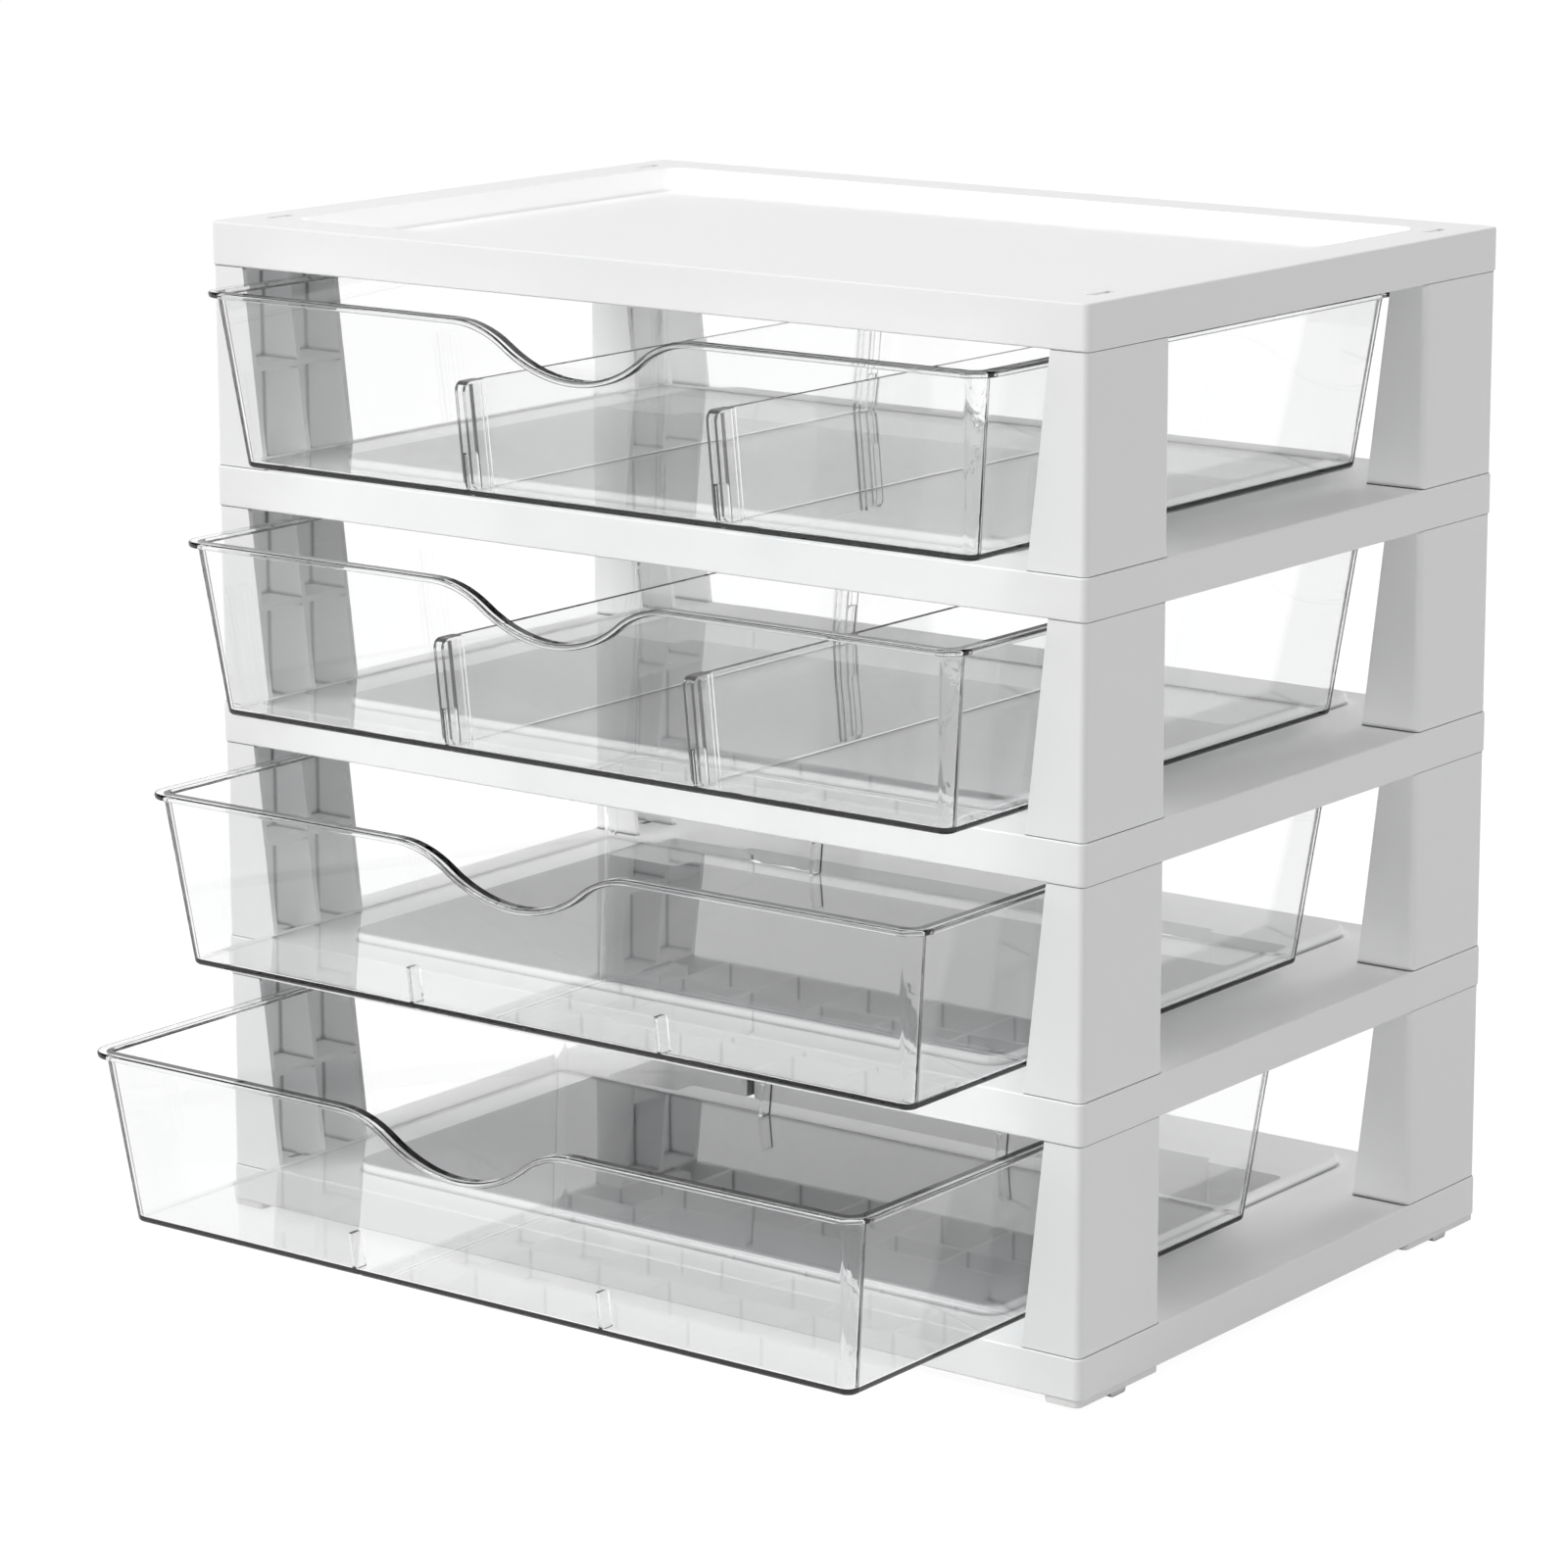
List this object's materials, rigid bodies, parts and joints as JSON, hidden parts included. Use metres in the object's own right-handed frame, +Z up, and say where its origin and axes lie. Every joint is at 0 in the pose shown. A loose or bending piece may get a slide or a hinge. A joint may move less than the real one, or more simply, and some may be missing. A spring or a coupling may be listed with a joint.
{
  "type": "drawer organizer",
  "caption": "Desktop storage stack for craft paper: clear sliding drawers with finger scoops and lift-out dividers in a white frame of clip-together shelves and legs.",
  "frame": {"origin": "on the floor under the middle of the frame's footprint, the drawers pulled out as pictured", "axes": "+Z up, +X to the right across the front, the front faces -Y"},
  "size_m": [0.362, 0.3384, 0.352],
  "materials": {
    "white_frame": "satin moulded",
    "clear_drawer": "clear glossy polystyrene",
    "clear_divider": "clear glossy polystyrene"
  },
  "bodies": {
    "frame": {"top_panel": "white_frame", "shelf_upper": "white_frame", "shelf_middle": "white_frame", "shelf_lower": "white_frame", "base_shelf": "white_frame", "leg_1_front_left": "white_frame", "leg_1_front_right": "white_frame", "leg_1_rear_left": "white_frame", "leg_1_rear_right": "white_frame", "leg_2_front_left": "white_frame", "leg_2_front_right": "white_frame", "leg_2_rear_left": "white_frame", "leg_2_rear_right": "white_frame", "leg_3_front_left": "white_frame", "leg_3_front_right": "white_frame", "leg_3_rear_left": "white_frame", "leg_3_rear_right": "white_frame", "leg_4_front_left": "white_frame", "leg_4_front_right": "white_frame", "leg_4_rear_left": "white_frame", "leg_4_rear_right": "white_frame", "foot_front_left": "white_frame", "foot_front_right": "white_frame", "foot_rear_left": "white_frame", "foot_rear_right": "white_frame"},
    "drawer_1": {"drawer_1": "clear_drawer"},
    "drawer_2": {"drawer_2": "clear_drawer"},
    "drawer_3": {"drawer_3": "clear_drawer"},
    "drawer_4": {"drawer_4": "clear_drawer"},
    "divider_1_left": {"divider_1_left": "clear_divider"},
    "divider_1_right": {"divider_1_right": "clear_divider"},
    "divider_2_left": {"divider_2_left": "clear_divider"},
    "divider_2_right": {"divider_2_right": "clear_divider"}
  },
  "joints": [
    {"name": "drawer_1_slide", "type": "slide", "parent": "frame", "child": "drawer_1", "axis": [0, -1, 0], "range_m": [-0.0287, 0.1513]},
    {"name": "drawer_2_slide", "type": "slide", "parent": "frame", "child": "drawer_2", "axis": [0, -1, 0], "range_m": [-0.0413, 0.1387]},
    {"name": "drawer_3_slide", "type": "slide", "parent": "frame", "child": "drawer_3", "axis": [0, -1, 0], "range_m": [-0.0609, 0.1191]},
    {"name": "drawer_4_slide", "type": "slide", "parent": "frame", "child": "drawer_4", "axis": [0, -1, 0], "range_m": [-0.0915, 0.0885]},
    {"name": "divider_1_left_lift", "type": "slide", "parent": "drawer_1", "child": "divider_1_left", "axis": [0, 0, 1], "range_m": [0, 0.024]},
    {"name": "divider_1_right_lift", "type": "slide", "parent": "drawer_1", "child": "divider_1_right", "axis": [0, 0, 1], "range_m": [0, 0.024]},
    {"name": "divider_2_left_lift", "type": "slide", "parent": "drawer_2", "child": "divider_2_left", "axis": [0, 0, 1], "range_m": [0, 0.024]},
    {"name": "divider_2_right_lift", "type": "slide", "parent": "drawer_2", "child": "divider_2_right", "axis": [0, 0, 1], "range_m": [0, 0.024]}
  ]
}
